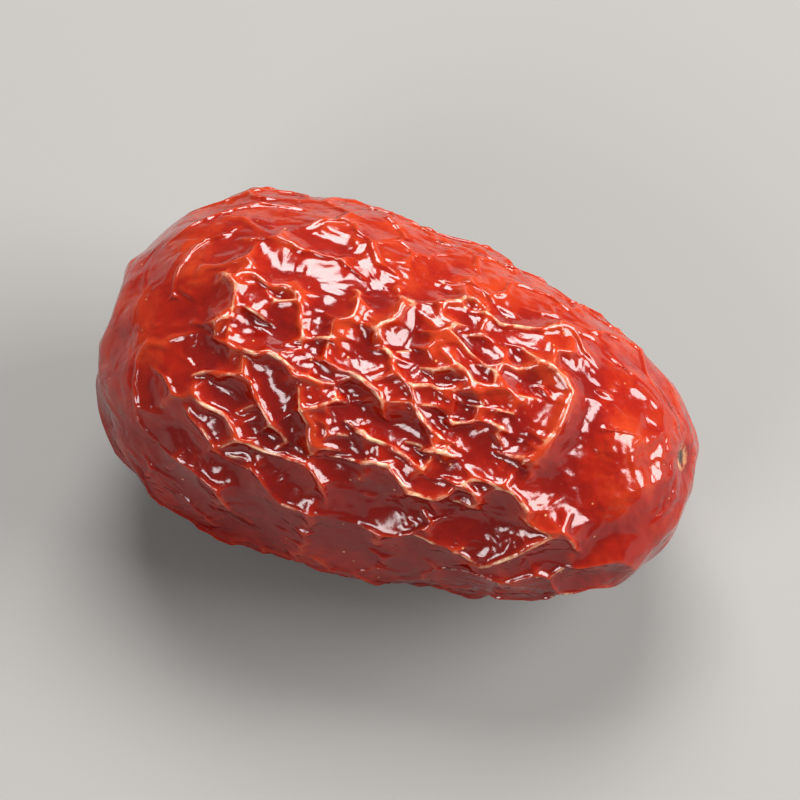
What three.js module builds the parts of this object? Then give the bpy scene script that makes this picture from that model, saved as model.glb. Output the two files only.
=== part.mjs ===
// A dried jujube lying on its side: the wrinkled fruit, and the stub of stalk left in the hollow of
// its stem end. Millimetres, +Z up. The long axis runs along X, with the stem end at -X and the
// blossom end at +X. The origin is under the middle of the fruit, on the surface that it lies on.

import * as THREE from "three";
import { mergeVertices } from "three/addons/utils/BufferGeometryUtils.js";

// The fruit between its wrinkles, which stand about 0.6 mm higher all round.
const FLESH_LENGTH = 45.6;
const FLESH_WIDTH = 26.6;
const FLESH_HEIGHT = 25.2;
const FULLNESS = 2.5; // exponent of the outline: 2 is an ellipse, and more is blunter
const TAPER = 0.14; // how much slimmer the blossom end is than the middle, as a share
const LIE_ANGLE = 3.6; // degrees that the slim end drops when the fruit lies on its side
const MIDDLE_HEIGHT = 12.95; // of the fruit's middle above the surface it lies on

// Where it rests the skin sags by a little, and is pressed flat.
const SAG_DEPTH = 0.65;
const SAG_LENGTH = 6;
const SAG_WIDTH = 3.2;

// The hollow at the stem end: a wide shallow basin with a narrow throat in the middle of it.
const BASIN_RADIUS = 4.2;
const BASIN_DEPTH = 0.9;
const THROAT_RADIUS = 1.75;
const THROAT_DEPTH = 2.6;

// The scar at the blossom end, where the flower's style was.
const SCAR_RADIUS = 1.1;
const SCAR_DEPTH = 0.55;
const SCAR_TOWARD = 3.2; // from the fruit's axis, toward the viewer of the ridges below
const SCAR_ACROSS = 2.7; // and across, as that viewer sees it

// The stub of stalk, which leans a little in the throat and ends inside the hollow.
const STALK_RADIUS = 0.42;
const STALK_LENGTH = 3;
const STALK_LEAN = 9; // degrees off the fruit's axis
const STALK_SIDES = 12;
const STALK_CLEARANCE = 0.45; // between the stalk's foot and the throat's floor

// The main ridges of the skin on the side that shows, each as its height and a few points of its
// crest. The points are [along, across] from the fruit's middle, as seen by someone who looks down
// at the upper side of the fruit, turned toward its blossom end a little.
const VIEW_ROLL = 28.5; // degrees round the fruit's axis, from its top toward -Y
const VIEW_LEAN = 6; // degrees from square-on, toward the blossom end
const RIDGES = [
  [0.65, [-13.6, 8.2], [-12, 8.6], [-10, 8.5], [-8, 8.7], [-5.6, 8.2]],
  [1.05, [-15.2, 5.3], [-13.6, 6.2], [-12.2, 5.1], [-10.8, 5.3], [-9.4, 5.0], [-8.6, 3.2], [-6.1, 0.3]],
  [1.5, [-15.1, 5.2], [-13.9, 4.5], [-13.4, 3.4], [-13.6, 2.2], [-15.1, 1.3]],
  [1, [-12, 2.7], [-11.4, 3.8], [-10.7, 4.8]],
  [1.25, [-5.9, 6.8], [-5, 5.8], [-5.0, 4.6], [-7, 3.6]],
  [1.05, [-4.7, 6.4], [-4.2, 4.9], [-5.4, 3.2], [-7.9, 2.6]],
  [1.65, [-3.9, 3.9], [-2.8, 4.8], [-2.0, 6.1], [-2.4, 7.1]],
  [1.05, [-3.8, 3.3], [-1.8, 3.2], [-1.1, 1.9], [0.3, 1.6], [1.2, 0.1], [2.5, -0.9], [4.9, -1.6]],
  [1.1, [-7.0, 2.1], [-5.4, 1.2], [-3, 0.8], [-1.4, 0.1], [-0.8, -1.1]],
  [1.25, [-15.1, 0.9], [-13, 0.4], [-11.4, 0.3], [-9.6, 0.7], [-7.6, -0.2], [-5.6, -0.1], [-4, 0.1]],
  [0.3, [-9.2, 11.2], [-7.6, 11.4], [-5.6, 10.4], [-3.6, 11.3], [-2.4, 10.6], [-0.2, 11.6]],
  [1.1, [-1.6, 6.9], [0, 7.2], [1.4, 7.6], [2.7, 8.4], [4.6, 7.4], [6.4, 7.6], [8, 7.7], [9.8, 8.5],
    [11.5, 7.4]],
  [0.75, [-0.8, 6.2], [1, 6.7], [2.8, 8.2]],
  [1, [2.5, 6.8], [4.6, 6.2], [6.6, 6.4], [8.4, 6.7], [10.0, 6.9], [11.5, 7.3]],
  [1.05, [-0.3, 5.2], [1, 5.3], [2.3, 6.4]],
  [1.05, [-0.4, 4.0], [1, 4.4], [2.2, 4.9], [2.8, 6.0]],
  [1.25, [0.2, 3.0], [2, 3.1], [3.3, 3.7], [5.2, 2.3], [6.3, 3.1], [7.5, 3.0], [8.3, 1.4]],
  [1.05, [4.6, 1.4], [6.4, 1.9], [7.9, 1.4]],
  [1, [4.7, 0.4], [6.4, 0.8], [8.3, 0.4]],
  [1.05, [5.4, 3.7], [6.0, 4.7], [7.0, 5.6]],
  [1.65, [7.1, 4.4], [8.0, 5.3], [10.2, 5.2], [11.2, 4.0], [11.3, 2.2], [10.6, 0.2], [9.6, -0.9],
    [8.4, -1.0]],
  [0.75, [8.5, 4.4], [10.1, 4.0], [10.0, 2.2], [9.2, 0.2]],
  [1, [2.9, 3.0], [3.4, 2.0], [3.9, 0.6], [4.0, -0.6]],
  [1, [1.4, 2.4], [2.4, 1.6], [2.5, 0.0]],
  [0.75, [3.4, 5.3], [3.9, 4.0]],
  [1.1, [-15.1, -2.0], [-13.4, -1.8], [-11.3, -1.2], [-9.8, -2.7], [-7.7, -4.3], [-6.5, -5.1]],
  [1.05, [-15.1, -2.1], [-14, -3.7], [-11.4, -4.4], [-10.1, -5.7], [-8.6, -4.9]],
  [0.7, [-10.0, -6.5], [-8.2, -7.6], [-6.3, -8.8], [-4.2, -9.0], [-2.4, -8.9]],
  [0.75, [-10.0, -6.4], [-8.2, -5.9], [-5.4, -5.9], [-4.0, -6.6], [-3.0, -7.8]],
  [1.25, [-7.3, -2.6], [-5.8, -1.8], [-3.8, -0.5]],
  [1.25, [-5.9, -2.0], [-5.6, -3.6], [-5.0, -5.3]],
  [1.05, [-4.6, -1.2], [-4.6, -3.0], [-4.2, -4.9]],
  [1.25, [-3.3, -2.2], [-1.4, -2.8], [0.6, -3.0], [2.4, -3.6], [4.1, -4.7]],
  [1.05, [2.4, -2.7], [3.4, -2.1], [5.0, -2.3]],
  [1.05, [4.3, -3.1], [5.0, -4.2], [7.2, -3.3], [9.4, -3.2], [11.0, -4.3], [11.8, -5.5]],
  [1.05, [7.3, -3.4], [7.2, -4.4], [8.0, -5.3]],
  [1.25, [-2.0, -4.6], [0.4, -4.1], [2.6, -5.3], [4.4, -5.2], [6.4, -4.1]],
  [0.75, [0.1, -9.0], [2.0, -9.0], [4.0, -8.0], [5.4, -6.8]],
  [0.9, [7.9, -9.3], [10, -8.3], [12, -6.2], [13.6, -4.6], [15.9, -6.1]],
  [0.65, [8.3, -9.9], [11, -9.4], [13.6, -8.1], [15.5, -8.9], [18, -7.7], [19.8, -6.9]],
  [0.75, [14.3, -7.5], [16.4, -6.6], [18.6, -5.4], [20.2, -5.9]],
  [0.6, [15.4, -9.0], [13, -10.4], [10.4, -11.2]],
  [0.6, [4.4, -8.6], [6, -8.3], [8, -8.5]],
  [0.6, [-16, -8], [-13, -8.6], [-10.8, -9.4], [-8.6, -11.3]],
  [0.35, [-13.2, -11.1], [-11.5, -11.8], [-10.0, -12.5]],
  [0.7, [-17.2, -3], [-15.4, -4], [-12.4, -6], [-10.2, -7.4]],
  [0.15, [-17.2, 7.6], [-18.4, 5.2], [-18.6, 2.6]],
  [0.1, [-20.4, 3.5], [-20.8, 1.5], [-20.6, -0.5]],
  [0.15, [-18.9, 0.2], [-19.2, -2.6], [-18.4, -5.6], [-16.8, -8.2]],
  [0.3, [-20.2, 6.2], [-18.2, 8.6], [-15.6, 10.6], [-12.6, 11.7]],
  [0.3, [4.4, 9.4], [5.4, 10.8], [7.5, 11.0], [9.5, 10.6]],
  [0.3, [1.2, 9.6], [2.6, 9.9], [4.2, 9.2]],
  [0.35, [16.0, 9.2], [17.2, 7.4], [19.4, 6.0]],
  [0.25, [18.9, 4.6], [19.3, 2.2], [20.4, 0.2]],
];
const RIDGE_CREST = 0.12; // radius of a ridge's rounded crest
const RIDGE_WIDTH = 0.5; // how fast its steep part falls off to each side
const RIDGE_FOOT = 1.9; // how far the gentle slope reaches that it stands on
const RIDGE_FOOT_SHARE = 0.85; // of the ridge's height
const RIDGE_REACH = 1.3; // points of the skin this close to a crest are drawn in toward it
const RIDGE_PULL = 0.9; // and by this share of the way, at the crest
const RIDGE_STEP = 0.1; // between the points that a crest is drawn with

const RIDGE_END_HEIGHT = 0.35; // share of its height that a ridge starts and ends with
const RIDGE_END_RISE = 4; // how much it gains per share of its length

// The ridges everywhere else wander along the fruit by chance.
const WANDER = {
  seed: 7,
  tries: 900,
  room: 1.5, // how far from the other crests one starts
  stride: 1.1, // between two of its points
  fewest: 3, // strides of the shortest and the longest
  most: 11,
  low: 0.35, // height of the lowest and the highest
  high: 0.85,
  calm: 0.6, // share of the height that they lose toward the ends of the fruit
  turn: 0.9, // most radians that one turns at a stride
  bend: 0.25, // and that it keeps turning by
  straighten: 0.25, // how strongly it turns back along the fruit
  end: 0.9, // share of the half length that they keep to
  facing: 0.3, // cosine past which a place faces the viewer, so none starts there
  aside: 0.15, // past which a place turned away starts to be out of the viewer's sight
  away: 0.5, // and past which it is far out of it
  rim: 0.15, // share of the height until then
};

// Short pleats run out from the hollow at the stem end, and faint ones from the scar.
const STEM_PLEATS = { count: 11, from: 2.3, to: 6.2, height: 0.4 };
const SCAR_PLEATS = { count: 14, from: 1.6, to: 5.5, height: 0.25 };
const PLEAT_TWIST = 0.12; // radians that a pleat curves by
const PLEAT_SHORT = 0.65; // length and height of every other one, as a share

// Broad low swells, where the flesh has shrunk unevenly.
const SWELL_HEIGHT = 0.18;
const SWELL_WAVES = 40;
const SWELL_ALONG = 0.4; // radians per millimetre, along the fruit
const SWELL_ROUND = 0.6; // and round it
const SWELL_SEED = 20;

const MESH_DETAIL = 23; // each of an icosahedron's 20 faces is cut into 24 x 24 triangles

const FRUIT_COLOUR = 0x8e1a16;
const STALK_COLOUR = 0xb5763f;

// The axes of the view that the ridges are given in, turned to the fruit's own.
const view = {
  along: new THREE.Vector3(1, 0, 0),
  across: new THREE.Vector3(0, 1, 0),
  toward: new THREE.Vector3(0, 0, 1),
};
for (const axis of Object.values(view)) {
  axis.applyAxisAngle(new THREE.Vector3(0, 1, 0), THREE.MathUtils.degToRad(VIEW_LEAN));
  axis.applyAxisAngle(new THREE.Vector3(1, 0, 0), THREE.MathUtils.degToRad(VIEW_ROLL));
}
const stemAt = new THREE.Vector3();
const scarAt = new THREE.Vector3()
  .addScaledVector(view.toward, SCAR_TOWARD)
  .addScaledVector(view.across, SCAR_ACROSS)
  .setX(0);

// How the fruit lies: its slim end dropped, and its middle over the origin.
const lying = new THREE.Matrix4()
  .makeTranslation(0, 0, MIDDLE_HEIGHT)
  .multiply(new THREE.Matrix4().makeRotationY(THREE.MathUtils.degToRad(LIE_ANGLE)));

// A small random number generator, so that the wrinkles come out the same each time.
function seededRandom(seed) {
  let state = seed;
  return () => {
    state = (state + 0x6d2b79f5) | 0;
    let mixed = Math.imul(state ^ (state >>> 15), 1 | state);
    mixed = (mixed + Math.imul(mixed ^ (mixed >>> 7), 61 | mixed)) ^ mixed;
    return ((mixed ^ (mixed >>> 14)) >>> 0) / 4294967296;
  };
}

// 1 in the middle of a dent and 0 outside it, with a rounded lip.
function dent(distance, radius, sharpness) {
  return Math.exp(-Math.pow(distance / radius, sharpness));
}

// The point of the flesh's surface in a given direction from its middle, a full oval body.
function fleshPoint(direction) {
  const { x, y, z } = direction;
  const round = Math.hypot(y, z);
  const reach = Math.pow(Math.pow(Math.abs(x), FULLNESS) + Math.pow(round, FULLNESS), -1 / FULLNESS);
  const along = reach * x;
  const slim = 1 - TAPER * along;
  const point = new THREE.Vector3(
    (FLESH_LENGTH / 2) * along,
    (FLESH_WIDTH / 2) * slim * reach * y,
    (FLESH_HEIGHT / 2) * slim * reach * z,
  );
  const offAxis = Math.hypot(point.y, point.z);
  if (x < 0) {
    point.x += BASIN_DEPTH * dent(offAxis, BASIN_RADIUS, 2.5);
    point.x += THROAT_DEPTH * dent(offAxis, THROAT_RADIUS, 4);
  } else {
    const fromScar = Math.hypot(point.y - scarAt.y, point.z - scarAt.z);
    point.x -= SCAR_DEPTH * dent(fromScar, SCAR_RADIUS, 2);
  }
  return point;
}

// Where the viewer of the ridges sees a place of the fruit: the point of the flesh behind it.
function seenPoint([along, across]) {
  const place = view.along.clone().multiplyScalar(along).addScaledVector(view.across, across);
  const scaled = new THREE.Vector3();
  let [inside, outside] = [0, FLESH_LENGTH];
  while (outside - inside > 0.001) {
    const depth = (inside + outside) / 2;
    scaled.copy(place).addScaledVector(view.toward, depth);
    scaled.divide(new THREE.Vector3(FLESH_LENGTH / 2, FLESH_WIDTH / 2, FLESH_HEIGHT / 2));
    const round = Math.hypot(scaled.y, scaled.z) / (1 - TAPER * scaled.x);
    const size = Math.pow(Math.abs(scaled.x), FULLNESS) + Math.pow(round, FULLNESS);
    if (size < 1) inside = depth;
    else outside = depth;
  }
  const slim = 1 - TAPER * scaled.x;
  scaled.y /= slim;
  scaled.z /= slim;
  return fleshPoint(scaled.normalize());
}

// Points close together along a ridge's crest, each with its height there.
function crestPoints(height, places) {
  const crest = new THREE.CatmullRomCurve3(places);
  const steps = Math.ceil(crest.getLength() / RIDGE_STEP);
  return crest.getSpacedPoints(steps).map((point, i) => {
    const fromEnd = Math.min(i, steps - i) / steps;
    return { point, height: height * Math.min(1, RIDGE_END_HEIGHT + RIDGE_END_RISE * fromEnd) };
  });
}

// The point of the flesh at a share of its half length and an angle round its axis.
function roundPoint(share, angle) {
  const round = Math.pow(1 - Math.pow(Math.abs(share), FULLNESS), 1 / FULLNESS);
  const direction = new THREE.Vector3(share, round * Math.cos(angle), round * Math.sin(angle));
  return fleshPoint(direction.normalize());
}

// The point of an end, -1 or 1, at a distance and an angle from a middle near the fruit's axis.
function endPoint(end, middle, radius, angle) {
  const y = middle.y + radius * Math.cos(angle);
  const z = middle.z + radius * Math.sin(angle);
  const round = (2 * Math.hypot(y, z)) / FLESH_WIDTH / (1 - TAPER * end);
  const share = Math.pow(1 - Math.pow(round, FULLNESS), 1 / FULLNESS);
  return roundPoint(end * share, Math.atan2(z, y));
}

// Pleats that fan out round a middle on an end. Every other one is shorter and lower.
function pleats(end, middle, { count, from, to, height }) {
  return Array.from({ length: count }, (_, i) => {
    const angle = (2 * Math.PI * (i + 0.25 * Math.sin(5 * i))) / count;
    const short = i % 2 ? PLEAT_SHORT : 1;
    const places = [0, 0.5, 1].map((share) =>
      endPoint(end, middle, from + (to * short - from) * share, angle + PLEAT_TWIST * share),
    );
    return crestPoints(height * short, places);
  }).flat();
}

// The crest point nearest to a point, and how far off it is.
function nearestCrest(point, crests) {
  let nearest = crests[0];
  let distance = Infinity;
  for (const crest of crests) {
    const away = point.distanceToSquared(crest.point);
    if (away < distance) [nearest, distance] = [crest, away];
  }
  return { ...nearest, distance: Math.sqrt(distance) };
}

// A ridge of the sides that don't show. It starts where there is room for one, and wanders along
// the fruit until it meets another. Toward the ends of the fruit the ridges are lower.
function wanderingCrest(crests, between) {
  let share = between(-WANDER.end, WANDER.end);
  let angle = between(0, 2 * Math.PI);
  let heading = between(-WANDER.turn, WANDER.turn) + (between(0, 1) < 0.5 ? Math.PI : 0);
  const bend = between(-WANDER.bend, WANDER.bend);
  const longest = between(WANDER.fewest, WANDER.most);
  const calm = 1 - WANDER.calm * THREE.MathUtils.smoothstep(Math.abs(share), 0.5, 0.85);
  const height = calm * between(WANDER.low, WANDER.high);

  const places = [roundPoint(share, angle)];
  const facing = places[0].clone().setX(0).normalize().dot(view.toward);
  const hidden = THREE.MathUtils.smoothstep(-facing, WANDER.aside, WANDER.away);
  const lowered = height * THREE.MathUtils.lerp(WANDER.rim, 1, hidden);
  if (facing > WANDER.facing || nearestCrest(places[0], crests).distance < WANDER.room) return [];

  for (let step = 0; step < longest; step++) {
    heading += between(-WANDER.turn, WANDER.turn) + bend - WANDER.straighten * Math.sin(2 * heading);
    const last = places.at(-1);
    share += (WANDER.stride * Math.cos(heading)) / (FLESH_LENGTH / 2);
    angle += (WANDER.stride * Math.sin(heading)) / Math.hypot(last.y, last.z);
    if (Math.abs(share) > WANDER.end) break;
    const place = roundPoint(share, angle);
    const crest = nearestCrest(place, crests);
    const meets = crest.distance < WANDER.stride;
    places.push(meets ? crest.point : place);
    if (meets) break;
  }
  return places.length > 2 ? crestPoints(lowered, places) : [];
}

// The crest points of all ridges.
function allCrests() {
  const crests = RIDGES.flatMap(([height, ...places]) => crestPoints(height, places.map(seenPoint)));
  crests.push(...pleats(-1, stemAt, STEM_PLEATS), ...pleats(1, scarAt, SCAR_PLEATS));
  const random = seededRandom(WANDER.seed);
  const between = (low, high) => low + (high - low) * random();
  for (let i = 0; i < WANDER.tries; i++) crests.push(...wanderingCrest(crests, between));
  return crests;
}

// How high a ridge stands at a distance from its crest, as a share of its height.
function ridgeShape(distance) {
  const foot = Math.max(0, 1 - distance / RIDGE_FOOT);
  return RIDGE_FOOT_SHARE * foot + (1 - RIDGE_FOOT_SHARE) * Math.exp(-distance / RIDGE_WIDTH);
}

// How far the broad swells lift a point: the sum of many long waves in random directions.
function seededSwells() {
  const random = seededRandom(SWELL_SEED);
  const spread = () => Math.sqrt(3) * (random() + random() + random() + random() - 2);
  const waves = Array.from({ length: SWELL_WAVES }, () => ({
    vector: new THREE.Vector3(SWELL_ALONG * spread(), SWELL_ROUND * spread(), SWELL_ROUND * spread()),
    phase: 2 * Math.PI * random(),
  }));
  const scale = SWELL_HEIGHT / Math.sqrt(SWELL_WAVES / 2);
  return (point) =>
    scale * waves.reduce((sum, wave) => sum + Math.cos(point.dot(wave.vector) + wave.phase), 0);
}

// The wrinkled fruit: the flesh's surface, with its points drawn in toward the crests so that the
// mesh follows them, then lifted to the ridges, laid down, and pressed flat where it rests.
function fruit() {
  const sphere = new THREE.IcosahedronGeometry(1, MESH_DETAIL);
  sphere.deleteAttribute("normal");
  sphere.deleteAttribute("uv");
  const surface = mergeVertices(sphere, 1e-5);
  const places = surface.attributes.position;
  const crests = allCrests();
  const swells = seededSwells();
  const lifts = [];
  const point = new THREE.Vector3();
  for (let i = 0; i < places.count; i++) {
    point.copy(fleshPoint(point.fromBufferAttribute(places, i)));
    const crest = nearestCrest(point, crests);
    const pull = RIDGE_PULL * Math.max(0, 1 - crest.distance / RIDGE_REACH);
    point.lerp(crest.point, pull);
    const distance = Math.hypot(crest.distance * (1 - pull), RIDGE_CREST) - RIDGE_CREST;
    lifts.push(swells(point) + crest.height * ridgeShape(distance));
    places.setXYZ(i, point.x, point.y, point.z);
  }
  surface.computeVertexNormals();
  const outward = new THREE.Vector3();
  for (let i = 0; i < places.count; i++) {
    outward.fromBufferAttribute(surface.attributes.normal, i);
    point.fromBufferAttribute(places, i).addScaledVector(outward, lifts[i]).applyMatrix4(lying);
    const underside = point.z < MIDDLE_HEIGHT ? SAG_DEPTH : 0;
    const sag = underside * dent(Math.hypot(point.x / SAG_LENGTH, point.y / SAG_WIDTH), 1, 2);
    places.setXYZ(i, point.x, point.y, Math.max(0, point.z - sag));
  }
  surface.deleteAttribute("normal");
  const material = new THREE.MeshStandardMaterial({ color: FRUIT_COLOUR, roughness: 0.32 });
  const mesh = new THREE.Mesh(surface, material);
  mesh.name = "fruit";
  return mesh;
}

// A dry woody stub, slimmest at the waist and spread at its broken end. It is turned along +Y.
function stalk() {
  const profile = [
    [0, 0],
    [1.05, 0],
    [1.0, 0.12],
    [0.86, 0.35],
    [0.84, 0.6],
    [0.98, 0.8],
    [1.3, 0.94],
    [1.35, 1],
    [0, 0.97],
  ].map(([radius, height]) => new THREE.Vector2(radius * STALK_RADIUS, height * STALK_LENGTH));
  const geometry = new THREE.LatheGeometry(profile, STALK_SIDES);
  const material = new THREE.MeshStandardMaterial({ color: STALK_COLOUR, roughness: 0.8 });
  const mesh = new THREE.Mesh(geometry, material);
  mesh.name = "stalk";
  const floor = -FLESH_LENGTH / 2 + BASIN_DEPTH + THROAT_DEPTH;
  mesh.position.set(floor - STALK_CLEARANCE, 0, 0);
  mesh.rotation.z = Math.PI / 2 - THREE.MathUtils.degToRad(STALK_LEAN);
  mesh.applyMatrix4(lying);
  return mesh;
}

const jujube = new THREE.Group();
jujube.add(fruit(), stalk());
export default jujube;
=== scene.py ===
"""A dried jujube on a pale floor: the fruit, with its wrinkled glossy skin, and its stub of stalk."""

import math

import bmesh
import bpy
import numpy as np
from bpy.props import FloatProperty, FloatVectorProperty, IntProperty, PointerProperty
from bpy.types import Operator, Panel, PropertyGroup
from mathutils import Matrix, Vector
from mathutils.kdtree import KDTree


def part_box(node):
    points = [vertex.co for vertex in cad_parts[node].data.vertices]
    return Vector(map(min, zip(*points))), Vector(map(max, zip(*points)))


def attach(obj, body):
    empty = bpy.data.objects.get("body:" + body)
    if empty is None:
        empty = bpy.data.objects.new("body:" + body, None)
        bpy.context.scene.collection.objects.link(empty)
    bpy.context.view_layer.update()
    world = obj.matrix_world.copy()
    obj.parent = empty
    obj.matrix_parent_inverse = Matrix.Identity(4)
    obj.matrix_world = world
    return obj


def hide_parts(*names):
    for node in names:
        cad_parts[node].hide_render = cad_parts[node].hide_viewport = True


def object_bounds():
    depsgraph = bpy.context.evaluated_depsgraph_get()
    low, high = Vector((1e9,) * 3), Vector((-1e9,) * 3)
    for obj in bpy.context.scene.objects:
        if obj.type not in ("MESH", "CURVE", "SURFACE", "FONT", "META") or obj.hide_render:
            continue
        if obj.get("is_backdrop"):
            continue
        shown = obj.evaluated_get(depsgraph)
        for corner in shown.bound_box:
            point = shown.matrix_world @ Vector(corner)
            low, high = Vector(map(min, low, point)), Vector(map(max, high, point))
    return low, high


bl_info = {
    "name": "Dried Jujube",
    "version": (1, 0, 0),
    "blender": (4, 5, 0),
    "location": "3D View > Sidebar > Jujube",
    "description": "Builds a dried jujube: its wrinkled fruit, its stub of stalk, and a stage",
    "category": "Add Mesh",
}

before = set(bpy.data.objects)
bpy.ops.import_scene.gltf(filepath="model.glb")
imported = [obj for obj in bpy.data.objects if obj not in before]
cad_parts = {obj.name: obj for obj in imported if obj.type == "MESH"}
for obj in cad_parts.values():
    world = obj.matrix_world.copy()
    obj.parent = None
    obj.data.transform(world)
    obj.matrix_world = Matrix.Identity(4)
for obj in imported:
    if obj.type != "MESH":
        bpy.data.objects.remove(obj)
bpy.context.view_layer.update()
MM = 0.001

FRUIT_LOW, FRUIT_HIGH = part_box("fruit")
HALF_LENGTH = (FRUIT_HIGH.x - FRUIT_LOW.x) / 2
STEM_END = Vector((FRUIT_LOW.x, 0, 14.4 * MM))  # the middle of the hollow that holds the stalk
BLOSSOM_SCAR = Vector((21.7, 0.85, 15.7)) * MM  # the middle of the scar at the other end
WAXY_SIDE = Vector((0.25, 0.2, 0.8))  # the way that the skin is glossiest, away from its underside
LIT_SIDE = Vector((0.05, 0.88, 0.47))  # the way toward the lights, in which painted light turns the fruit from crimson to orange

# The crests of the plain fruit run along edges whose faces meet at an outward bend, in degrees.
BLUNT_BEND = 12
SHARP_BEND = 40
BARELY_SHARP = 0.25  # from 0 to 1: an edge this sharp shares in the sharpness at its two ends
CREST_STEP = 0.08 * MM  # between the points along a crest
CREST_NEIGHBOURS = 4  # how many of those points each vertex looks at
CREST_EVENING = 0.3  # how far the crest at each vertex is evened out toward that beside it
CREST_END = 0.93  # share of the half length at which the crests have faded out
CREST_FADE = 0.12  # and the share over which they fade

# There is less spare skin along the fruit than round it, and less toward its two ends.
LENGTHWISE_LOSS = 0.25  # share that an edge along the fruit lacks
SPARE_END = 0.98  # share of the half length at which none would be left
SPARE_FADE = 0.3  # and the share over which it grows less
LEAST_SPARE = 0.25  # but this share of it always is

# How the skin settles over the flesh, each as a share of the way that it moves in one round.
SLACK_IN = 0.01  # share of the rounds in which the spare length comes in
EDGE_PULL = 0.8  # of an edge toward its full length
MOMENTUM = 0.9  # kept from the round before
FIRMNESS = 0.05  # of the flesh, against being pressed in
LIFT_HOLD = 0.002  # of the flesh, against the skin lifting off
SLIDE_HOLD = 0.008  # and against its sliding
CLING = 0.0005  # the most that the skin clings to the flesh, in millimetres
CLING_REACH = 0.05  # millimetres that it has lifted by when it clings with most of that
TINY = 1e-9  # millimetres, so that no length is 0

# What the folds start from: the ridges of the plain fruit, and a small random unevenness.
RIDGE_SMOOTHING = 6  # rounds of smoothing that take the ridges away, to tell how high they are
RIDGE_LIFT = 0.15  # millimetres that a high ridge starts from the flesh
RIDGE_TOP = 98  # percentile of the heights that counts as a high ridge
DENT_SHARE = 0.3  # share of that lift that a dent starts below the flesh, at the most
UNEVENNESS = 0.01  # millimetres

CREST_SMOOTHING = 10  # rounds of smoothing that give the direction a crest stands out in
RELIEF_SMOOTHING = 60  # rounds of smoothing that take the folds away, to tell how high they are
RELIEF_HEIGHT = 0.35  # millimetres above or below the smooth skin that get the whole change of red: painted shade below it, and painted light above

# The sizes of the patterns in the finishes.
BLOTS = 3.4 * MM  # darker and lighter red
GRAIN = 1.2 * MM  # which breaks up the painted highlight lines on the crests and makes the skin unevenly dull
SPECKS_APART = 1.3 * MM
SPECK_PATCHES = 5 * MM
SKIN_BUMPS = 2.6 * MM
SKIN_PORES = 0.5 * MM
CREASE_BENDS = 3 * MM
STALK_FIBRES = 0.12 * MM  # across the stalk, and several times as long along it


def linear(hex_colour):
    """The linear red, green, blue of an sRGB colour such as "8E1A16"."""
    parts = [int(hex_colour[i : i + 2], 16) / 255 for i in (0, 2, 4)]
    return [c / 12.92 if c <= 0.04045 else ((c + 0.055) / 1.055) ** 2.4 for c in parts]


def colour_property(name, description, hex_colour):
    """A colour that a user can change, from its sRGB default."""
    return FloatVectorProperty(
        name=name,
        description=description,
        subtype="COLOR",
        size=3,
        min=0,
        max=1,
        default=linear(hex_colour),
    )


class JujubeFruitSettings(PropertyGroup):
    """What can be changed on the fruit."""

    coarse_spare: FloatProperty(
        name="Spare skin, coarse",
        description="How much more skin than flesh there is, taken up by folds a few millimetres apart",
        default=0.075,
        min=0,
        max=0.25,
    )
    fine_spare: FloatProperty(
        name="Spare skin, fine",
        description="The same for the finer folds between them",
        default=0.12,
        min=0,
        max=0.25,
    )
    crest_height: FloatProperty(
        name="Crest height",
        description="How far the thin crest of a ridge stands out from its shoulders",
        default=0.22 * MM,
        min=0,
        max=1 * MM,
        unit="LENGTH",
    )
    crest_width: FloatProperty(
        name="Crest width",
        description="From the middle of a crest to where it runs out into its shoulders",
        default=0.2 * MM,
        min=0.1 * MM,
        max=1 * MM,
        unit="LENGTH",
    )
    seed: IntProperty(
        name="Seed",
        description="Picks another set of small irregularities, from which the folds start",
        default=5,
        min=0,
    )
    skin: colour_property("Skin", "The skin between the crests", "7A1103")
    # Painted shade: the darker red of the hollows, where less light falls.
    hollow_shade: colour_property("Hollows", "The skin at the bottom of the dents", "640803")
    # Painted light: the orange red of the lit side and of what stands out, which the light blots also
    # reach.
    orange_light_and_blots: colour_property("Ripe side", "The orange red of one side and of what stands out", "90280C")
    # Painted highlight: the pale thin line along each crest.
    crest: colour_property("Crests", "The worn thin line along a crest", "CCA884")
    stain: colour_property("Stain", "The stem hollow's stain, and the scar's middle", "1B0B0A")
    speck: colour_property("Specks", "The skin's tiny pale dots, and the scar's lip", "B98A5A")


class JujubeStalkSettings(PropertyGroup):
    """What can be changed on the stub of stalk."""

    waist: FloatProperty(
        name="Waist",
        description="Radius of the stalk at its slimmest",
        default=0.36 * MM,
        min=0.1 * MM,
        max=0.6 * MM,
        unit="LENGTH",
    )
    flare: FloatProperty(
        name="Flare",
        description="Radius of its spread, broken end",
        default=0.56 * MM,
        min=0.1 * MM,
        max=0.8 * MM,
        unit="LENGTH",
    )
    furrow: FloatProperty(
        name="Furrow depth",
        description="Depth of the furrows along the dry stalk",
        default=0.06 * MM,
        min=0,
        max=0.2 * MM,
        unit="LENGTH",
    )
    seed: IntProperty(
        name="Seed",
        description="Picks another set of furrows and another break",
        default=3,
        min=0,
    )
    wood: colour_property("Wood", "The dry outside of the stalk", "A8703C")
    dark: colour_property("Furrows", "The darker bottom of its furrows", "5E3417")


class JujubeStageSettings(PropertyGroup):
    """What can be changed on the floor, the lights and the camera."""

    floor: colour_property("Floor", "The pale floor", "777572")
    key: FloatProperty(
        name="Key light",
        description="Strength of the large soft light from the viewer's right",
        default=8.5,
        min=0,
        unit="POWER",
    )
    azimuth: FloatProperty(
        name="Azimuth",
        description="Direction that the camera looks from, turned from straight in front",
        default=math.radians(18.3),
        subtype="ANGLE",
    )
    elevation: FloatProperty(
        name="Elevation",
        description="Height of the camera above the horizon, as an angle",
        default=math.radians(60),
        subtype="ANGLE",
    )
    fill: FloatProperty(
        name="Fill",
        description="Share of the picture's width that the fruit spans",
        default=0.76,
        min=0.1,
        max=1,
        subtype="FACTOR",
    )


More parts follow.
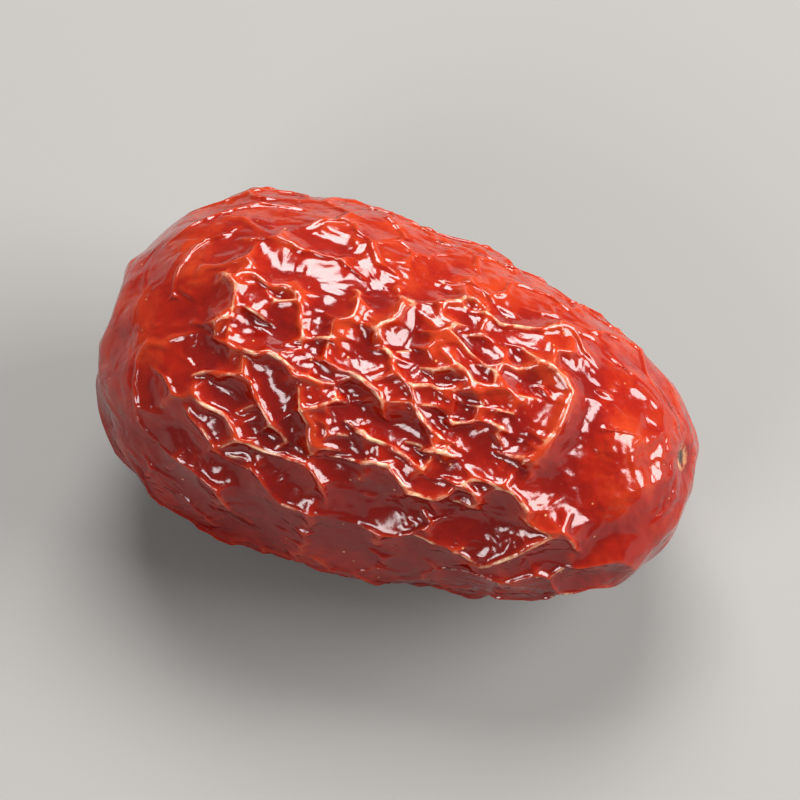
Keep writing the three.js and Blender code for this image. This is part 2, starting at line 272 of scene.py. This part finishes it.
def new_object(name, bm, material, replaced):
    """Makes the finished piece from a bmesh, and puts it on the part."""
    mesh = bpy.data.meshes.new(name)
    bm.to_mesh(mesh)
    bm.free()
    mesh.shade_smooth()
    mesh.materials.append(material)
    piece = bpy.data.objects.new(name, mesh)
    bpy.context.scene.collection.objects.link(piece)
    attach(piece, "root")
    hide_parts(replaced)


def merged_copy(node):
    """A bmesh of a CAD node with its loose triangles joined."""
    bm = bmesh.new()
    bm.from_mesh(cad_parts[node].data)
    bmesh.ops.remove_doubles(bm, verts=bm.verts, dist=0.001 * MM)
    return bm


# The skin and its folds


class Skin:
    """The vertices of a mesh as an array, in millimetres, and what lies next to what."""

    def __init__(self, bm):
        bm.verts.index_update()
        # Each row of beside holds a vertex's neighbours, filled up with the vertex itself, and real
        # is 1 for a neighbour and 0 for the filling.
        self.places = np.array([v.co for v in bm.verts]) / MM
        self.faces = np.array([[v.index for v in f.verts] for f in bm.faces])
        ends = np.array([[v.index for v in e.verts] for e in bm.edges])
        ends = np.concatenate([ends, ends[:, ::-1]])
        ends = ends[np.argsort(ends[:, 0], kind="stable")]
        count = np.bincount(ends[:, 0], minlength=len(self.places))
        column = np.arange(len(ends)) - np.repeat(np.cumsum(count) - count, count)
        self.beside = np.tile(np.arange(len(self.places))[:, None], (1, count.max()))
        self.beside[ends[:, 0], column] = ends[:, 1]
        self.real = (np.arange(count.max()) < count[:, None]).astype(np.float32)
        self.count = count[:, None].astype(np.float32)

    def normals_of(self, places):
        """The outward directions of the skin if its vertices were at these places."""
        a, b, c = (places[self.faces[:, i]] for i in range(3))
        across = np.cross(b - a, c - a)
        corners = self.faces.ravel()
        total = np.stack(
            [np.bincount(corners, np.repeat(part, 3), len(places)) for part in across.T], axis=1
        )
        return total / np.linalg.norm(total, axis=1, keepdims=True)

    def normals(self):
        return self.normals_of(self.places)

    def bulge(self, values):
        """How far the mean of its neighbours lies from each vertex's own value."""
        return np.einsum("nkc,nk->nc", values[self.beside], self.real) / self.count - values

    def smoothed(self, values, rounds):
        """The values after each has moved halfway to its neighbours' mean, so many times."""
        for _ in range(rounds):
            values = values + 0.5 * self.bulge(values)
        return values


def crest_points(bm):
    """Points close together along the crests of the plain fruit, each with how sharp it is there."""
    sharpness = {}
    for edge in bm.edges:
        bend = math.degrees(edge.calc_face_angle_signed())
        sharpness[edge] = np.clip((bend - BLUNT_BEND) / (SHARP_BEND - BLUNT_BEND), 0, 1)
    at_vertex = {v: max(sharpness[e] for e in v.link_edges) for v in bm.verts}
    points = []
    for edge, sharp in sharpness.items():
        if sharp <= 0:
            continue
        start, end = edge.verts
        steps = max(2, int(edge.calc_length() / CREST_STEP))
        for i in range(steps):
            share = i / (steps - 1)
            around = at_vertex[start] * (1 - share) + at_vertex[end] * share
            strength = (sharp + around * min(1, sharp / BARELY_SHARP)) / 2
            points.append((*(start.co.lerp(end.co, share) / MM), strength))
    return np.array(points)


def fade_out(along, end, length, least=0):
    """1 along most of the fruit, and falling to 0 at end, but never under least.

    Both end and length, over which it falls, are shares of the fruit's half length.
    """
    return np.clip((end - np.abs(along) / (HALF_LENGTH / MM)) / length, least, 1)


def crest_share(skin, outward, crests, width):
    """How far up a crest each vertex is, from 0 on the skin between to 1 on a sharp crest."""
    tree = KDTree(len(crests))
    for i, crest in enumerate(crests):
        tree.insert(crest[:3], i)
    tree.balance()
    nearest = np.array(
        [[i for _, i, _ in tree.find_n(p, CREST_NEIGHBOURS)] for p in skin.places.tolist()]
    )
    away = crests[nearest, :3] - skin.places[:, None]
    away -= np.einsum("nkc,nc->nk", away, outward)[:, :, None] * outward[:, None]
    share = crests[nearest, 3] * np.exp(-(away**2).sum(2) / width**2)
    share = share.max(1)
    share += CREST_EVENING * skin.bulge(share[:, None])[:, 0]
    return share * fade_out(skin.places[:, 0], CREST_END, CREST_FADE)


def spare(skin, most):
    """How long each edge of the skin would be if it lay slack.

    There is more to spare round the fruit than along it, so that the folds run along it, and little
    at the two ends, where the skin holds to the stem and the scar.
    """
    along = skin.places[skin.beside] - skin.places[:, None]
    length = np.linalg.norm(along, axis=2) + TINY
    lengthwise = (along[:, :, 0] / length) ** 2
    middle = (skin.places[skin.beside] + skin.places[:, None])[:, :, 0] / 2
    fade = fade_out(middle, SPARE_END, SPARE_FADE, LEAST_SPARE)
    return length * (1 + most * (1 - LENGTHWISE_LOSS * lengthwise) * fade)


def buckle(skin, start, most, rounds, stiffness):
    """Lets the skin settle into folds over the flesh, and returns where it comes to lie.

    Every edge strives for its full length, the skin resists being bent, and the flesh holds it:
    hard against being pressed in, gently against lifting off or sliding.
    """
    rest = spare(skin, most).astype(np.float32)
    flesh = skin.places.astype(np.float32)
    outward = skin.normals().astype(np.float32)
    flat = np.linalg.norm(flesh[skin.beside] - flesh[:, None], axis=2)
    bend = skin.bulge(flesh)
    now = start.astype(np.float32)
    before = now.copy()
    for turn in range(rounds):
        wanted = flat + (rest - flat) * min(1, (turn + 1) / (SLACK_IN * rounds))
        gap = now[skin.beside] - now[:, None]
        length = np.sqrt((gap * gap).sum(2)) + TINY
        pull = (skin.real * (length - wanted) / length)[:, :, None] * gap
        step = EDGE_PULL * pull.sum(1) / skin.count
        step -= stiffness * skin.bulge(skin.bulge(now) - bend)
        off = now - flesh
        lift = (off * outward).sum(1)
        cling = CLING * np.tanh(lift / CLING_REACH) + LIFT_HOLD * lift
        hold = np.where(lift < 0, -FIRMNESS * lift, -cling)
        step += hold[:, None] * outward
        step -= SLIDE_HOLD * (off - lift[:, None] * outward)
        now, before = now + step + MOMENTUM * (now - before), now
    return now


def write_back(bm, places):
    """Moves the vertices of a mesh to their new places, in metres."""
    for vertex, place in zip(bm.verts, places.tolist()):
        vertex.co = place


def first_lift(skin, outward, random):
    """How far each vertex starts from the flesh: the ridges stand out, with some unevenness."""
    smooth = skin.smoothed(skin.places, RIDGE_SMOOTHING)
    bumps = ((skin.places - smooth) * outward).sum(1)
    bumps = RIDGE_LIFT * np.clip(bumps / np.percentile(bumps, RIDGE_TOP), -DENT_SHARE, 1)
    uneven = UNEVENNESS * random.normal(size=len(bumps))
    return (bumps + uneven)[:, None] * outward


def wrinkled(bm, settings):
    """Splits the skin twice, lets it fold each time, coarsely and then finely, and lifts the crests."""
    crests = crest_points(bm)
    lift_layer = bm.verts.layers.float_vector.new("lift")
    random = np.random.default_rng(settings.seed)
    # For each stage, the spare skin, the rounds of smoothing and of settling, and the stiffness.
    stages = ((settings.coarse_spare, 2, 150, 0.03), (settings.fine_spare, 1, 60, 0.06))
    for stage, (most, smoothing, rounds, stiffness) in enumerate(stages):
        bmesh.ops.subdivide_edges(bm, edges=bm.edges, cuts=1, use_grid_fill=True)
        skin = Skin(bm)
        skin.places = skin.smoothed(skin.places, smoothing)
        if stage == 0:
            lift = first_lift(skin, skin.normals(), random)
        else:
            lift = np.array([v[lift_layer] for v in bm.verts])
        lift = buckle(skin, skin.places + lift, most, rounds, stiffness) - skin.places
        for vertex, value in zip(bm.verts, lift.tolist()):
            vertex[lift_layer] = value
        write_back(bm, skin.places * MM)
    skin.places = skin.places + lift
    outward = skin.normals_of(skin.smoothed(skin.places, CREST_SMOOTHING))
    crest = crest_share(skin, outward, crests, settings.crest_width / MM)
    skin.places += (settings.crest_height / MM * crest)[:, None] * outward
    skin.places[:, 2] = np.maximum(skin.places[:, 2], 0)
    write_back(bm, skin.places * MM)
    bm.verts.layers.float_vector.remove(bm.verts.layers.float_vector["lift"])
    return skin, crest


def mark(bm, name, values):
    """Keeps a value from 0 to 1 on each vertex, for the material."""
    layer = bm.verts.layers.float.new(name)
    for vertex, value in zip(bm.verts, np.clip(values, 0, 1).tolist()):
        vertex[layer] = value


def standing_out(skin):
    """How far each vertex stands out: 0.5 on the smooth skin, and 1 a RELIEF_HEIGHT above it."""
    smooth = skin.smoothed(skin.places, RELIEF_SMOOTHING)
    height = ((skin.places - smooth) * skin.normals()).sum(1)
    return 0.5 + 0.5 * height / RELIEF_HEIGHT


# The stub of stalk


def stalk_axis():
    """The foot of the plain stalk, and the vector from there to its tip."""
    places = np.array([v.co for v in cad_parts["stalk"].data.vertices])
    middle = places.mean(0)
    axis = np.linalg.svd(places - middle, full_matrices=False)[2][0]
    axis *= -np.sign(axis[0])
    along = (places - middle) @ axis
    return Vector(middle + axis * along.min()), Vector(axis * (along.max() - along.min()))


def furrow_waves(random):
    """The waves that make up the furrows: how many there are round it, two phases and a size."""
    return [(n, *random.uniform(0, 2 * math.pi, 2), random.uniform(0.4, 1)) for n in (3, 5, 8, 13)]


def furrow_depth(waves, angle, height):
    """How far the furrows raise the stalk's side, in furrow depths, mostly below 0."""
    bend = 0.8  # how far a furrow wanders round the stalk, in radians
    pace = 3  # and how fast, in radians for the stalk's length
    sunk = 0.3
    total = sum(
        size * math.cos(n * angle + phase + bend * math.sin(pace * height + turn))
        for n, phase, turn, size in waves
    )
    return total / 2 - sunk


def torn_edge(waves, angle):
    """How far the broken end reaches, as a share of the stalk's length."""
    splinters = zip((0.04, 0.03, 0.02), (2, 5, 11), waves)
    return sum(reach * math.sin(n * angle + wave[1]) for reach, n, wave in splinters)


def stalk_mesh(settings):
    """A round stub that spreads toward its broken end, with furrows that wander along it."""
    foot, axis = stalk_axis()
    side = axis.orthogonal().normalized()
    other = axis.normalized().cross(side)
    waves = furrow_waves(np.random.default_rng(settings.seed))
    # A square grid is wrapped round the stalk. Its first rows close the foot, and its last the tip.
    around, along = 72, 90
    foot_rows, tip_rows = 0.08, 0.86
    # From here on, shares of the stalk's length, and of its waist for the foot's spread.
    foot_spread, foot_reach = 0.25, 0.3
    flare_start, flare_reach = 0.55, 0.4
    hollow = 0.05  # depth of the hollow in the broken end
    hollow_start = 1.6  # how soon it is at its deepest, toward the middle of the end
    tear_reach = 6  # how near to the end the torn edge keeps: a higher power is nearer
    bm = bmesh.new()
    bmesh.ops.create_grid(bm, x_segments=around, y_segments=along, size=0.5)
    for vertex in bm.verts:
        angle = 2 * math.pi * (vertex.co.x + 0.5)
        row = vertex.co.y + 0.5
        height = np.clip((row - foot_rows) / (tip_rows - foot_rows), 0, 1)
        flared = np.clip((height - flare_start) / flare_reach, 0, 1) ** 2
        footed = foot_spread * (1 - min(1, height / foot_reach)) ** 2
        radius = settings.waist * (1 + footed) * (1 - flared) + settings.flare * flared
        radius += settings.furrow * furrow_depth(waves, angle, height)
        if row < foot_rows:
            radius *= row / foot_rows
        cap = max(0, (row - tip_rows) / (1 - tip_rows))
        radius *= 1 - cap
        height += torn_edge(waves, angle) * height**tear_reach * (1 - cap)
        height -= hollow * math.sin(math.pi * min(1, hollow_start * cap) / 2)
        turned = side * math.cos(angle) + other * math.sin(angle)
        vertex.co = foot + axis * height + turned * radius
    bmesh.ops.remove_doubles(bm, verts=bm.verts, dist=0.001 * MM)
    bmesh.ops.recalc_face_normals(bm, faces=bm.faces)
    return bm


# The materials

# A Mix node's sockets for colours share their names with others, so they are picked by number.
MIX_SHARE, MIX_FIRST, MIX_SECOND, MIXED = 0, 6, 7, 2


def set_inputs(tree, node, inputs):
    """Gives each named or numbered input its value, or links it to the socket given instead."""
    for name, value in inputs.items():
        if isinstance(value, bpy.types.NodeSocket):
            tree.links.new(value, node.inputs[name])
        else:
            node.inputs[name].default_value = value


def add_node(tree, kind, inputs, **settings):
    """Adds a node with its settings, and with its inputs' values and links."""
    node = tree.nodes.new(kind)
    for name, value in settings.items():
        setattr(node, name, value)
    set_inputs(tree, node, inputs)
    return node


def new_material(name):
    """A new material, its node tree and its shader."""
    material = bpy.data.materials.new(name)
    material.use_nodes = True
    tree = material.node_tree
    return material, tree, tree.nodes["Principled BSDF"]


def rgba(colour):
    """The colour as a socket takes it."""
    return (*colour, 1)


def near(tree, place, point, inner, outer):
    """1 within inner of a point and 0 beyond outer, in metres."""
    away = add_node(tree, "ShaderNodeVectorMath", {0: place, 1: point}, operation="DISTANCE")
    return add_node(
        tree,
        "ShaderNodeMapRange",
        {
            "Value": away.outputs["Value"],
            "From Min": inner,
            "From Max": outer,
            "To Min": 1,
            "To Max": 0,
        },
        interpolation_type="SMOOTHSTEP",
    ).outputs["Result"]


def redness(tree, place, settings):
    """The red of the skin, blotted: painted shade darkens the dents, and painted light turns what
    stands out and the lit side more orange.
    """
    # The relief paints light and shade into the red: darker in the dents, more orange on what stands
    # out.
    tone = add_node(tree, "ShaderNodeAttribute", {}, attribute_name="relief").outputs["Fac"]
    blots = add_node(
        tree,
        "ShaderNodeTexNoise",
        {
            "Vector": place,
            "Scale": 1 / BLOTS,
            "Detail": 6,
            "Roughness": 0.62,
            "Distortion": 0.6,
        },
    ).outputs["Fac"]
    mottled = add_node(
        tree, "ShaderNodeMapRange", {"Value": blots, "To Min": -0.7, "To Max": 0.7}, clamp=False
    ).outputs["Result"]
    # Painted light: the skin turns more orange toward the lit side.
    side = add_node(
        tree, "ShaderNodeVectorMath", {0: place, 1: LIT_SIDE}, operation="DOT_PRODUCT"
    ).outputs["Value"]
    lit_side = add_node(
        tree,
        "ShaderNodeMapRange",
        {
            "Value": side,
            "From Min": -4 * MM,
            "From Max": 20 * MM,
            "To Min": -0.22,
            "To Max": 0.22,
        },
    ).outputs["Result"]
    for part in (mottled, lit_side):
        tone = add_node(tree, "ShaderNodeMath", {0: tone, 1: part}, operation="ADD").outputs[0]
    # A tone of 0.2 is the painted shade of the hollows, one of 0.5 is the skin's, and one of 0.85 the
    # orange of painted light.
    colour = rgba(settings.hollow_shade)
    for low, high, red in ((0.2, 0.5, settings.skin), (0.5, 0.85, settings.orange_light_and_blots)):
        share = add_node(
            tree, "ShaderNodeMapRange", {"Value": tone, "From Min": low, "From Max": high}
        ).outputs["Result"]
        colour = add_node(
            tree,
            "ShaderNodeMix",
            {MIX_SHARE: share, MIX_FIRST: colour, MIX_SECOND: rgba(red)},
            data_type="RGBA",
        ).outputs[MIXED]
    return colour


def skin_colour(tree, place, grain, settings):
    """The red skin, with what lies over it: a painted highlight line along the crests, stains, the scar
    and pale specks.
    """
    crest = add_node(tree, "ShaderNodeAttribute", {}, attribute_name="crest").outputs["Fac"]
    crest_highlight = add_node(
        tree, "ShaderNodeMapRange", {"Value": crest, "From Min": 0.6, "From Max": 0.9}
    ).outputs["Result"]
    broken = add_node(
        tree, "ShaderNodeMapRange", {"Value": grain, "From Min": 0.42, "From Max": 0.6}
    ).outputs["Result"]
    from_dot = add_node(
        tree, "ShaderNodeTexVoronoi", {"Vector": place, "Scale": 1 / SPECKS_APART}
    ).outputs["Distance"]
    dots = add_node(
        tree,
        "ShaderNodeMapRange",
        {"Value": from_dot, "From Min": 0.05, "From Max": 0.085, "To Min": 1, "To Max": 0},
    ).outputs["Result"]
    patches = add_node(
        tree, "ShaderNodeTexNoise", {"Vector": place, "Scale": 1 / SPECK_PATCHES, "Detail": 2}
    ).outputs["Fac"]
    some = add_node(
        tree, "ShaderNodeMapRange", {"Value": patches, "From Min": 0.42, "From Max": 0.55}
    ).outputs["Result"]
    # Each layer's colour, and what is multiplied for the share of it that shows.
    layers = (
        # The painted highlight along the crests.
        (settings.crest, (crest_highlight, broken, 0.75)),
        (settings.stain, (near(tree, place, STEM_END, 2.2 * MM, 4.6 * MM), 0.85)),
        (settings.speck, (near(tree, place, BLOSSOM_SCAR, 0.7 * MM, 1.2 * MM), broken)),
        (settings.stain, (near(tree, place, BLOSSOM_SCAR, 0.3 * MM, 0.75 * MM), 0.9)),
        (settings.speck, (dots, some, 0.75)),
    )
    colour = redness(tree, place, settings)
    for over, (share, *others) in layers:
        for other in others:
            share = add_node(
                tree, "ShaderNodeMath", {0: share, 1: other}, operation="MULTIPLY"
            ).outputs[0]
        colour = add_node(
            tree,
            "ShaderNodeMix",
            {MIX_SHARE: share, MIX_FIRST: colour, MIX_SECOND: rgba(over)},
            data_type="RGBA",
        ).outputs[MIXED]
    return colour


def scar_creases(tree, place):
    """Fine creases that point at the scar, in a band round it, as a height from -1 to 1."""
    from_scar = add_node(
        tree, "ShaderNodeVectorMath", {0: place, 1: BLOSSOM_SCAR}, operation="SUBTRACT"
    ).outputs["Vector"]
    parts = add_node(tree, "ShaderNodeSeparateXYZ", {"Vector": from_scar}).outputs
    angle = add_node(
        tree, "ShaderNodeMath", {0: parts["Z"], 1: parts["Y"]}, operation="ARCTAN2"
    ).outputs[0]
    wander = add_node(
        tree, "ShaderNodeTexNoise", {"Vector": place, "Scale": 1 / CREASE_BENDS, "Detail": 2}
    ).outputs["Fac"]
    turned = add_node(
        tree, "ShaderNodeMath", {0: wander, 1: 2, 2: angle}, operation="MULTIPLY_ADD"
    ).outputs[0]
    creases = 11  # all round the scar
    wave = add_node(tree, "ShaderNodeMath", {0: turned, 1: creases}, operation="MULTIPLY").outputs[0]
    wave = add_node(tree, "ShaderNodeMath", {0: wave}, operation="SINE").outputs[0]
    within = near(tree, place, BLOSSOM_SCAR, 2.5 * MM, 7 * MM)
    close = near(tree, place, BLOSSOM_SCAR, 1 * MM, 3 * MM)
    band = add_node(
        tree, "ShaderNodeMath", {0: within, 1: close}, operation="SUBTRACT"
    ).outputs[0]
    return add_node(tree, "ShaderNodeMath", {0: wave, 1: band}, operation="MULTIPLY").outputs[0]


def skin_unevenness(tree, place):
    """The small unevenness that breaks up the gloss, as a normal."""
    broad = add_node(
        tree,
        "ShaderNodeTexNoise",
        {
            "Vector": place,
            "Scale": 1 / SKIN_BUMPS,
            "Detail": 2,
            "Roughness": 0.45,
            "Distortion": 0.5,
        },
    ).outputs["Fac"]
    fine = add_node(
        tree,
        "ShaderNodeTexNoise",
        {"Vector": place, "Scale": 1 / SKIN_PORES, "Detail": 4, "Roughness": 0.6},
    ).outputs["Fac"]
    # Each pattern, how strongly it shows, and how high it is.
    heights = (
        (broad, 1, 0.5 * MM),
        (scar_creases(tree, place), 1, 0.05 * MM),
        (fine, 0.3, 0.06 * MM),
    )
    below = {}
    for height, strength, distance in heights:
        bump = add_node(
            tree,
            "ShaderNodeBump",
            {"Height": height, "Strength": strength, "Distance": distance, **below},
        )
        below = {"Normal": bump.outputs["Normal"]}
    return bump.outputs["Normal"]


def jujube_skin(settings):
    """Dried jujube skin: thin, tough and waxy, over brown sugary flesh.

    It gives the eye a dark red with painted shade in the hollows, painted light toward the lit side and
    on what stands out, a painted highlight line along each crest, tiny pale dots, and wet-looking gloss
    on every slope that faces a light.
    """
    material, tree, shader = new_material("dried_jujube_skin")
    place = add_node(tree, "ShaderNodeTexCoord", {}).outputs["Object"]
    grain = add_node(
        tree,
        "ShaderNodeTexNoise",
        {"Vector": place, "Scale": 1 / GRAIN, "Detail": 4, "Roughness": 0.6},
    ).outputs["Fac"]
    dull = add_node(
        tree,
        "ShaderNodeMapRange",
        {"Value": grain, "From Min": 0.3, "From Max": 0.7, "To Min": 0.4, "To Max": 0.55},
    ).outputs["Result"]
    upward = add_node(
        tree, "ShaderNodeVectorMath", {0: place, 1: WAXY_SIDE}, operation="DOT_PRODUCT"
    ).outputs["Value"]
    wax = add_node(
        tree,
        "ShaderNodeMapRange",
        {"Value": upward, "From Min": 0, "From Max": 9 * MM, "To Min": 0.2, "To Max": 1},
        interpolation_type="SMOOTHSTEP",
    ).outputs["Result"]
    normal = skin_unevenness(tree, place)
    # The waxy coat gives all the gloss, so what lies under it has none of its own.
    set_inputs(
        tree,
        shader,
        {
            "Base Color": skin_colour(tree, place, grain, settings),
            "Roughness": dull,
            "IOR": 1.48,
            "Specular IOR Level": 0,
            "Normal": normal,
            "Coat Weight": wax,
            "Coat Roughness": 0.14,
            "Coat Normal": normal,
            "Subsurface Weight": 0.15,
            "Subsurface Radius": (1, 0.25, 0.12),
            "Subsurface Scale": 0.8 * MM,
        },
    )
    return material


def dry_stalk(settings):
    """A dry woody stalk, which gives the eye matt tan with darker furrows along it."""
    material, tree, shader = new_material("dry_stalk_wood")
    place = add_node(tree, "ShaderNodeTexCoord", {}).outputs["Object"]
    fibres = add_node(
        tree, "ShaderNodeMapping", {"Vector": place, "Scale": (0.15, 1, 1)}
    ).outputs["Vector"]
    streaks = add_node(
        tree,
        "ShaderNodeTexNoise",
        {"Vector": fibres, "Scale": 1 / STALK_FIBRES, "Detail": 4, "Roughness": 0.6},
    ).outputs["Fac"]
    share = add_node(
        tree, "ShaderNodeMapRange", {"Value": streaks, "From Min": 0.35, "From Max": 0.62}
    ).outputs["Result"]
    colour = add_node(
        tree,
        "ShaderNodeMix",
        {MIX_SHARE: share, MIX_FIRST: rgba(settings.dark), MIX_SECOND: rgba(settings.wood)},
        data_type="RGBA",
    ).outputs[MIXED]
    bump = add_node(
        tree, "ShaderNodeBump", {"Height": streaks, "Strength": 0.5, "Distance": 0.04 * MM}
    )
    set_inputs(
        tree,
        shader,
        {"Base Color": colour, "Roughness": 0.75, "Normal": bump.outputs["Normal"]},
    )
    return material


def matt_board(settings):
    """Matt board, which gives a soft pale ground with no pattern."""
    material, tree, shader = new_material("matt_board")
    set_inputs(tree, shader, {"Base Color": rgba(settings.floor), "Roughness": 0.9})
    return material


# The stage

FLOOR_REACH = 4  # from the middle of the floor to each side
AMBIENT = 0.2  # strength of the even light from all round
LIGHT_DISTANCE = 0.6
# Each square light's azimuth and elevation in degrees, its size, and its share of the key's power.
LIGHTS = {
    "key": (105, 33, 0.42, 1),
    "back": (198, 58, 0.35, 0.8),
    "front": (343, 35, 0.24, 0.3),
}
LENS = 250
CLIP = (0.01, 20)


def face_the_fruit(thing, centre, azimuth, elevation, away):
    """Puts a light or the camera where it sees the fruit from a direction."""
    level = math.cos(elevation)
    outward = Vector((math.sin(azimuth) * level, -math.cos(azimuth) * level, math.sin(elevation)))
    thing.location = centre + outward * away
    thing.rotation_euler = (-outward).to_track_quat("-Z", "Y").to_euler()


def build_floor(settings):
    """The pale floor, far wider than the picture."""
    bm = bmesh.new()
    bmesh.ops.create_grid(bm, x_segments=1, y_segments=1, size=FLOOR_REACH)
    mesh = bpy.data.meshes.new("floor")
    bm.to_mesh(mesh)
    bm.free()
    mesh.materials.append(matt_board(settings))
    floor = bpy.data.objects.new("floor", mesh)
    bpy.context.scene.collection.objects.link(floor)
    floor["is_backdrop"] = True


def build_lights(centre, power):
    """The soft lights, and a dim even one from all round."""
    world = bpy.data.worlds.new("studio")
    world.use_nodes = True
    background = world.node_tree.nodes["Background"]
    background.inputs["Color"].default_value = (1, 1, 1, 1)
    background.inputs["Strength"].default_value = AMBIENT
    bpy.context.scene.world = world
    for name, (azimuth, elevation, size, share) in LIGHTS.items():
        data = bpy.data.lights.new(name, "AREA")
        data.size = size
        data.energy = share * power
        light = bpy.data.objects.new(name, data)
        bpy.context.scene.collection.objects.link(light)
        turn, rise = math.radians(azimuth), math.radians(elevation)
        face_the_fruit(light, centre, turn, rise, LIGHT_DISTANCE)


def build_camera(centre, settings):
    """The camera, as far away as makes the fruit span its share of the picture."""
    data = bpy.data.cameras.new("camera")
    data.lens = LENS
    data.clip_start, data.clip_end = CLIP
    camera = bpy.data.objects.new("camera", data)
    bpy.context.scene.collection.objects.link(camera)
    width = 2 * HALF_LENGTH / settings.fill
    away = width * data.lens / data.sensor_width
    face_the_fruit(camera, centre, settings.azimuth, settings.elevation, away)
    bpy.context.scene.camera = camera


# What a user can call, and where it is listed


class JUJUBE_OT_fruit(Operator):
    """Builds the fruit, with its skin in folds, in the place of the plain one"""

    bl_idname = "jujube.fruit"
    bl_label = "Fruit"

    def execute(self, context):
        settings = context.scene.jujube_fruit
        bm = merged_copy("fruit")
        skin, crest = wrinkled(bm, settings)
        # The crest share also places the painted highlight line along each crest.
        mark(bm, "crest", crest)
        # The relief is read by the material for painted shade in the dents and painted light on what
        # stands out.
        mark(bm, "relief", standing_out(skin))
        new_object("wrinkled_fruit", bm, jujube_skin(settings), "fruit")
        return {"FINISHED"}


class JUJUBE_OT_stalk(Operator):
    """Builds the stub of stalk, furrowed and broken off, in the place of the plain one"""

    bl_idname = "jujube.stalk"
    bl_label = "Stalk"

    def execute(self, context):
        settings = context.scene.jujube_stalk
        wood = dry_stalk(settings)
        new_object("broken_stalk", stalk_mesh(settings), wood, "stalk")
        return {"FINISHED"}


class JUJUBE_OT_stage(Operator):
    """Builds the floor, the lights and the camera"""

    bl_idname = "jujube.stage"
    bl_label = "Stage"

    def execute(self, context):
        settings = context.scene.jujube_stage
        low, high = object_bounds()
        centre = (low + high) / 2
        build_floor(settings)
        build_lights(centre, settings.key)
        build_camera(centre, settings)
        context.scene.view_settings.view_transform = "Standard"
        return {"FINISHED"}


class JUJUBE_PT_parts(Panel):
    """Lists the pieces that can be built"""

    bl_idname = "JUJUBE_PT_parts"
    bl_label = "Dried Jujube"
    bl_space_type = "VIEW_3D"
    bl_region_type = "UI"
    bl_category = "Jujube"

    def draw(self, context):
        scene = context.scene
        for operator, settings in (
            ("jujube.fruit", scene.jujube_fruit),
            ("jujube.stalk", scene.jujube_stalk),
            ("jujube.stage", scene.jujube_stage),
        ):
            box = self.layout.box()
            box.operator(operator)
            for name in settings.__annotations__:
                box.prop(settings, name)


CLASSES = (
    JujubeFruitSettings,
    JujubeStalkSettings,
    JujubeStageSettings,
    JUJUBE_OT_fruit,
    JUJUBE_OT_stalk,
    JUJUBE_OT_stage,
    JUJUBE_PT_parts,
)


def register():
    for cls in CLASSES:
        bpy.utils.register_class(cls)
    bpy.types.Scene.jujube_fruit = PointerProperty(type=JujubeFruitSettings)
    bpy.types.Scene.jujube_stalk = PointerProperty(type=JujubeStalkSettings)
    bpy.types.Scene.jujube_stage = PointerProperty(type=JujubeStageSettings)


def unregister():
    del bpy.types.Scene.jujube_stage
    del bpy.types.Scene.jujube_stalk
    del bpy.types.Scene.jujube_fruit
    for cls in reversed(CLASSES):
        bpy.utils.unregister_class(cls)


def main():
    """Builds everything."""
    register()
    bpy.ops.jujube.fruit()
    bpy.ops.jujube.stalk()
    bpy.ops.jujube.stage()


if __name__ == "__main__":
    main()
